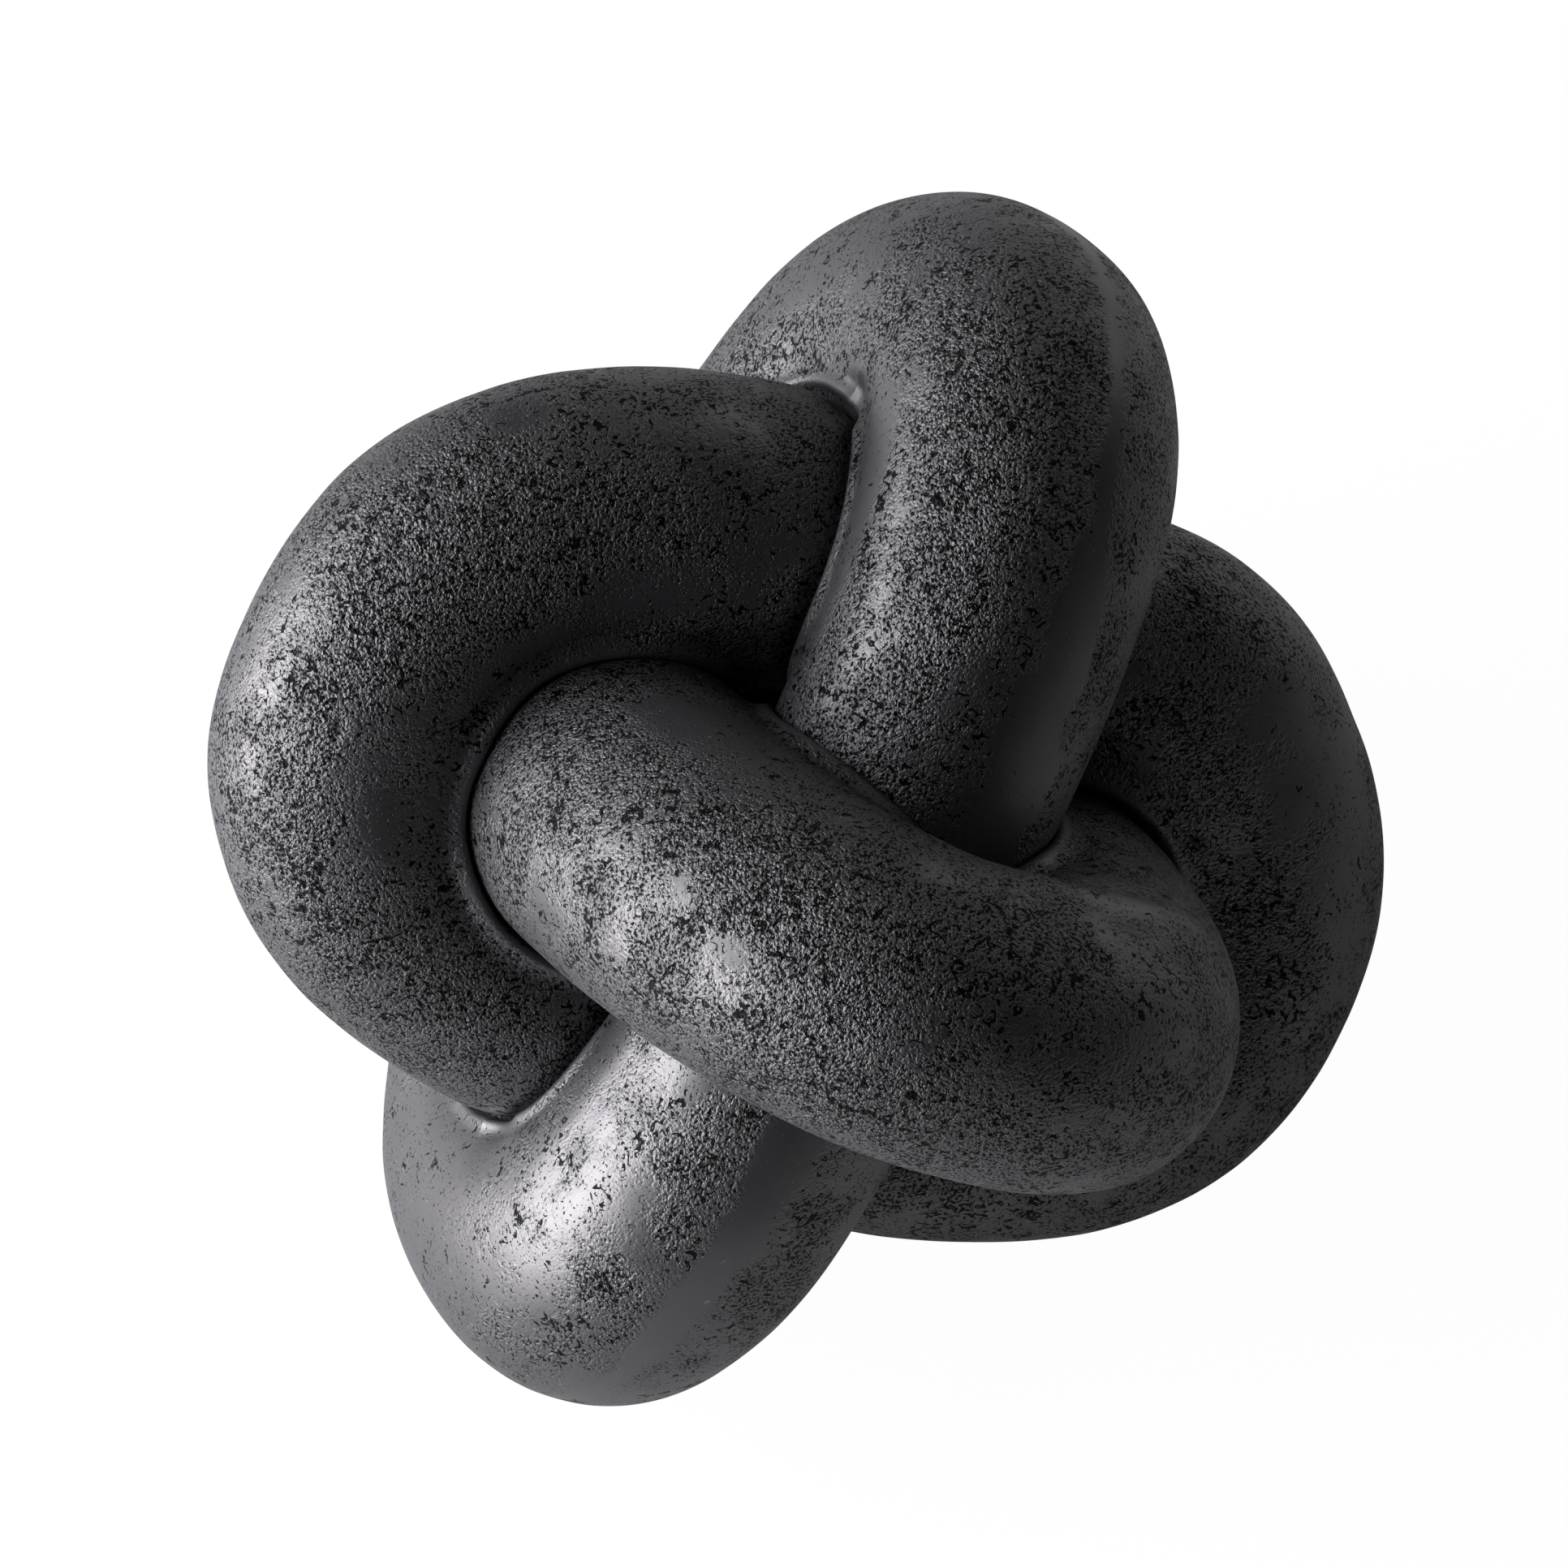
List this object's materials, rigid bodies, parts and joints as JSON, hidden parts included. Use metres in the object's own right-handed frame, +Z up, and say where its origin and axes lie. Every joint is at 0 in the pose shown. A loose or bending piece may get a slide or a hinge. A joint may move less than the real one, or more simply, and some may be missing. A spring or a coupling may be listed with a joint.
{
  "type": "resin knot sculpture",
  "caption": "Black cast resin sculpture of thick interlocked rings pressed into a rounded knot, pitted and satin, standing on felt pads.",
  "frame": {"origin": "on the surface that the knot stands on, under the middle of its bounding box", "axes": "+Z up; -Y towards the upper front lobe; +X to the right of a viewer who faces that lobe"},
  "size_m": [0.1724, 0.177, 0.1483],
  "materials": {
    "black_resin": "satin, densely pitted",
    "dowel_steel": "ground",
    "black_felt": "pressed felt"
  },
  "bodies": {
    "root": {"upper_left_lobe": "black_resin", "lower_right_lobe": "black_resin", "upper_right_lobe": "black_resin", "lower_left_lobe": "black_resin", "upper_front_lobe": "black_resin", "lower_back_lobe": "black_resin", "left_ring_upper_dowel": "dowel_steel", "left_ring_lower_dowel": "dowel_steel", "right_ring_upper_dowel": "dowel_steel", "right_ring_lower_dowel": "dowel_steel", "front_ring_upper_dowel": "dowel_steel", "front_ring_lower_dowel": "dowel_steel", "right_pad": "black_felt", "left_pad": "black_felt", "back_pad": "black_felt"}
  },
  "joints": []
}
